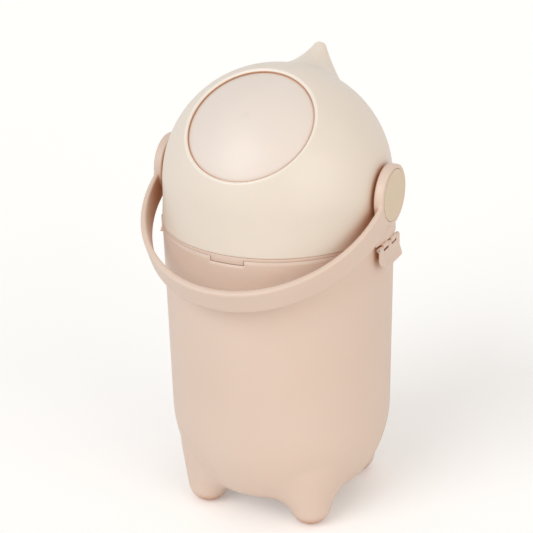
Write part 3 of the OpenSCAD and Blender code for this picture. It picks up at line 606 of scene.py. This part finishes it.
def band_distance(p):
    """Distance from the handle without its spigots. The handle lies level here: p holds how far a
    point is to the right, ahead of the axis, and above it."""
    x, ahead, up = np.abs(p[:, 0]), p[:, 1], p[:, 2]
    bow = np.maximum(ahead - ARM_STRAIGHT, 0)
    skins = []
    for half, reach in ((HUB_OUT, GRIP_REACH + GRIP_T - ARM_STRAIGHT),
                        (HUB_OUT - ARM_T, GRIP_REACH - ARM_STRAIGHT)):
        size = np.maximum(np.hypot(x / half, bow / reach), 0.05)
        slope = np.hypot(x / half ** 2, bow / reach ** 2) / size
        skins.append((size - 1) / slope)
        side = x / half / size
    thick = ARM_T + (GRIP_T - ARM_T) * (1 - side ** 2)
    roll = EDGE_ROLL * thick
    band = np.maximum(skins[0], -skins[1])
    band = rounded_more(rounded_more(band, up - BAND_TOP, roll), -up - BAND_BOTTOM, roll)
    band = np.maximum(band, -ahead)
    off = np.hypot(ahead, up)
    hub = rounded_more(off - HUB_R, slab(x, (HUB_OUT + HUB_FACE) / 2, HUB_OUT - HUB_FACE), 1.6)
    width = np.maximum(up - BAND_TOP, -up - BAND_BOTTOM)
    straight = np.maximum(width, slab(ahead, ARM_STRAIGHT / 2, ARM_STRAIGHT))
    cheek = -rounded_more(HUB_R - off, -straight, 5)    # a round in the corner of hub and arm
    cheek = rounded_more(cheek, slab(x, HUB_OUT - ARM_T / 2, ARM_T), EDGE_ROLL * ARM_T)
    seat = np.maximum(off - CAP_R - 0.2, HUB_OUT - CAP_T - x)
    pocket = np.maximum(off - SCREW_POCKET_R, HUB_OUT - SCREW_POCKET - x)
    return np.maximum(np.minimum(np.minimum(band, hub), cheek), -np.minimum(seat, pocket))


def spigot_distance(p):
    """Distance from the spigots behind the hubs, laid level: round, then flat where it is a key."""
    x, off = np.abs(p[:, 0]), np.hypot(p[:, 1], p[:, 2])
    length = slab(x, (SPIGOT_END + HUB_FACE) / 2, HUB_FACE + 1 - SPIGOT_END)
    bar = rounded_more(off - SPIGOT_R, length, 0.5)
    key = np.where(x < DRUM_FLAT, np.abs(p[:, 2]) - SPIGOT_R + SPIGOT_FLAT, -9)
    return np.maximum(np.maximum(bar, key), SCREW_R + 0.2 - off)


def dropped(points):
    """Turns points of the level handle down to where the handle rests, in the bin's own frame."""
    x, ahead, up = points.T
    return np.stack([x, -ahead * math.cos(HANDLE_DROP) - up * math.sin(HANDLE_DROP),
                     AXIS_Z - ahead * math.sin(HANDLE_DROP) + up * math.cos(HANDLE_DROP)], 1)


points, faces = closed_net(band_distance, (-HUB_OUT, -HUB_R, -HUB_R),
                           (HUB_OUT, GRIP_REACH + GRIP_T, HUB_R), 1.6)
faces = [face[::-1] for face in faces]  # laying the handle level mirrors it
piece("handle_moulding", dropped(points), faces, blush, "drum", ["handle"], "blush_plastic")
points, faces = closed_net(spigot_distance, (SPIGOT_END, -SPIGOT_R, -SPIGOT_R),
                           (HUB_FACE + 1, SPIGOT_R, SPIGOT_R), 0.9)
faces = [face[::-1] for face in faces]
piece("spigot_right", dropped(points), faces, blush, "drum", (), "blush_plastic")
piece("spigot_left", *mirrored(dropped(points), faces), blush, "drum", (), "blush_plastic")

# ---- Hub caps and screws ----
# A flat beige cap is pressed into each hub and hides the steel screw that draws the spigot into the
# drum.

beige = moulded_plastic("beige polypropylene, cap", "#DCC9AF", "#D6C2A7", roughness=0.42)
for side in ("left", "right"):
    dressed("hub_cap_" + side, beige, 0.5)
    dressed("hub_screw_" + side, steel, 0.2)

# ---- Latches ----
# Each latch is a blush plate that hangs on a steel pin between the ear's knuckles. It bends out into
# a thumb lip, and the hook behind it closes just outside and below the rib on the bucket.

LATCH_HALF, LATCH_BOTTOM, LATCH_CORNER, SLOT_Z, PLAY = 27.5, 305.0, 9.0, 323.45, 0.1
PLATE_MID_X = 131.75
HOOK_IN_X, HOOK_HALF, HOOK_Z, HOOK_TOP = 129.25, 13.0, 309.4, 312.9
# side view of the plate: places along its middle, and half its thickness there
latch_spine = [(PLATE_MID_X, PIN_Z, 1.3), (PLATE_MID_X, 315.5, 1.3), (132.75, 311.8, 1.45),
               (134.4, 308.9, 1.4), (136.35, 306.35, 1.3)]


def latch_distance(p):
    """Distance from the right-hand latch."""
    x, y, z = p[:, 0], np.abs(p[:, 1]), p[:, 2]
    plate = np.full(len(p), 1e3)
    for (x0, z0, r0), (x1, z1, r1) in zip(latch_spine, latch_spine[1:]):
        share = ((x - x0) * (x1 - x0) + (z - z0) * (z1 - z0)) / ((x1 - x0) ** 2 + (z1 - z0) ** 2)
        share = np.clip(share, 0, 1)
        off = np.hypot(x - x0 - share * (x1 - x0), z - z0 - share * (z1 - z0)) - r0 - share * (r1 - r0)
        close = np.maximum(0.6 - np.abs(plate - off), 0)
        plate = np.minimum(plate, off) - close ** 2 / 2.4
    corner = np.hypot(np.maximum(y - LATCH_HALF + LATCH_CORNER, 0),
                      np.maximum(LATCH_BOTTOM + LATCH_CORNER - z, 0)) - LATCH_CORNER
    outline = np.maximum(np.maximum(corner, y - LATCH_HALF), z - PIN_Z)
    plate = rounded_more(plate, outline, 0.7)
    hook = rounded_more(slab(x, (HOOK_IN_X + PLATE_MID_X) / 2, PLATE_MID_X - HOOK_IN_X),
                        slab(z, (HOOK_Z + HOOK_TOP) / 2, HOOK_TOP - HOOK_Z), 0.4)
    hook = rounded_more(hook, y - HOOK_HALF, 0.6)
    from_pin = np.hypot(x - PIN_X, z - PIN_Z)
    middle = rounded_more(from_pin - KNUCKLE_R, y - LATCH_KNUCKLE / 2, 0.4)
    outer_y = lid_knuckle_y + LID_KNUCKLE / 2 + GAP
    outer = rounded_more(from_pin - KNUCKLE_R,
                         slab(y, (outer_y + LATCH_HALF) / 2, LATCH_HALF - outer_y), 0.4)
    slot = rounded_more(slab(y, lid_knuckle_y, LID_KNUCKLE + 2 * GAP), SLOT_Z - z, 0.4)
    solid = rounded_more(np.minimum(plate, np.minimum(middle, outer)), -slot, 0.5)
    return np.maximum(np.minimum(solid, hook), PIN_R + PLAY - from_pin)


LIP_OUT_X = 138.0
latch_net = closed_net(latch_distance, (HOOK_IN_X - 1.5, -LATCH_HALF, LATCH_BOTTOM),
                       (LIP_OUT_X, LATCH_HALF, PIN_Z + KNUCKLE_R), 0.7)
piece("latch_plate_right", *latch_net, blush, "latch_right", ["latch_right"], "blush_plastic")
piece("latch_plate_left", *mirrored(*latch_net), blush, "latch_left", ["latch_left"], "blush_plastic")
for side in ("left", "right"):
    dressed("latch_pin_" + side, steel, 0.15)

# ---- Floor, light and camera ----
# A white paper sweep under broad, even light: a soft main light from the upper left, a warmer one
# from the right, and the photographer's own viewpoint.

FLOOR_HALF = 6.0                        # metres
white_sweep = bpy.data.materials.new("white paper sweep")
white_sweep.use_nodes = True
tree = white_sweep.node_tree
tree.nodes.clear()
path = add_node(tree, "ShaderNodeLightPath")
paper = add_node(tree, "ShaderNodeBsdfDiffuse", {"Color": linear("#F7F5F3")})
# only the camera sees this glow: it brings the lit paper up to white and leaves its shadow
glow = add_node(tree, "ShaderNodeEmission", {"Color": (1, 1, 1, 1), "Strength": 0.19})
lit = add_node(tree, "ShaderNodeAddShader", {0: paper.outputs[0], 1: glow.outputs[0]})
seen = add_node(tree, "ShaderNodeMixShader",
                {0: path.outputs["Is Camera Ray"], 1: paper.outputs[0], 2: lit.outputs[0]})
add_node(tree, "ShaderNodeOutputMaterial", {"Surface": seen.outputs[0]})
mesh = bpy.data.meshes.new("floor")
mesh.from_pydata([(x * FLOOR_HALF, y * FLOOR_HALF, 0) for x, y in ((-1, -1), (1, -1), (1, 1), (-1, 1))],
                 [], [(0, 1, 2, 3)])
mesh.materials.append(white_sweep)
floor = bpy.data.objects.new("floor", mesh)
bpy.context.scene.collection.objects.link(floor)

world = bpy.data.worlds.new("studio")
bpy.context.scene.world = world
world.use_nodes = True
tree = world.node_tree
tree.nodes.clear()
# white to the camera and in reflections, and dimmer as a light on the bin
path = add_node(tree, "ShaderNodeLightPath")
direct = add_node(tree, "ShaderNodeMath", {0: path.outputs["Is Camera Ray"],
                                           1: path.outputs["Is Glossy Ray"]}, operation="MAXIMUM")
seen = add_node(tree, "ShaderNodeMath",
                {0: direct.outputs[0], 1: path.outputs["Is Transmission Ray"]}, operation="MAXIMUM")
room = add_node(tree, "ShaderNodeBackground", {"Color": (1, 0.99, 0.975, 1), "Strength": 0.62})
white = add_node(tree, "ShaderNodeBackground", {"Color": (1, 1, 1, 1), "Strength": 1})
both = add_node(tree, "ShaderNodeMixShader",
                {0: seen.outputs[0], 1: room.outputs[0], 2: white.outputs[0]})
add_node(tree, "ShaderNodeOutputWorld", {"Surface": both.outputs[0]})


def soft_light(name, towards, strength, spread, colour):
    """A broad light from far away that shines from a direction, with soft shadows."""
    data = bpy.data.lights.new(name, "SUN")
    data.energy, data.angle, data.color = strength, math.radians(spread), colour
    lamp = bpy.data.objects.new(name, data)
    bpy.context.scene.collection.objects.link(lamp)
    lamp.rotation_euler = Vector(towards).to_track_quat("Z", "Y").to_euler()


soft_light("main_light", (-0.3, -0.8, 0.6), 1.15, 42, (0.93, 0.975, 1))
soft_light("right_light", (1, -0.45, 0.3), 0.85, 50, (1, 0.93, 0.83))

# a viewpoint fitted to the photograph: angles round the middle of the seam, and how far the lens
# then turns aside so that the bin stands where it does in the frame
AZIMUTH, ELEVATION, ROLL = (math.radians(a) for a in (25.674, 21.72, -1.2266))
YAW, PITCH = (math.radians(a) for a in (-0.4219, -1.7246))
DISTANCE, FOCAL_PX, PHOTO_PX, SENSOR = 1920, 1740.83, 533, 36
back = Vector((math.sin(AZIMUTH) * math.cos(ELEVATION), -math.cos(AZIMUTH) * math.cos(ELEVATION),
               math.sin(ELEVATION)))
right = Vector((math.cos(AZIMUTH), math.sin(AZIMUTH), 0))
ahead = (right * math.tan(YAW) + back.cross(right) * math.tan(PITCH) - back).normalized()
right = ahead.cross(Vector((0, 0, 1))).normalized()
up = right.cross(ahead)
across = right * math.cos(ROLL) + up * math.sin(ROLL)
upright = up * math.cos(ROLL) - right * math.sin(ROLL)
camera = bpy.data.objects.new("camera", bpy.data.cameras.new("camera"))
camera.data.sensor_width = SENSOR
camera.data.lens = SENSOR * FOCAL_PX / PHOTO_PX
stands_at = (back * DISTANCE + Vector((0, 0, SEAM_TOP))) / 1000
camera.matrix_world = (Matrix.Translation(stands_at)
                       @ Matrix((across, upright, -ahead)).transposed().to_4x4())
bpy.context.scene.collection.objects.link(camera)
bpy.context.scene.camera = camera
bpy.context.scene.view_settings.view_transform = "Standard"
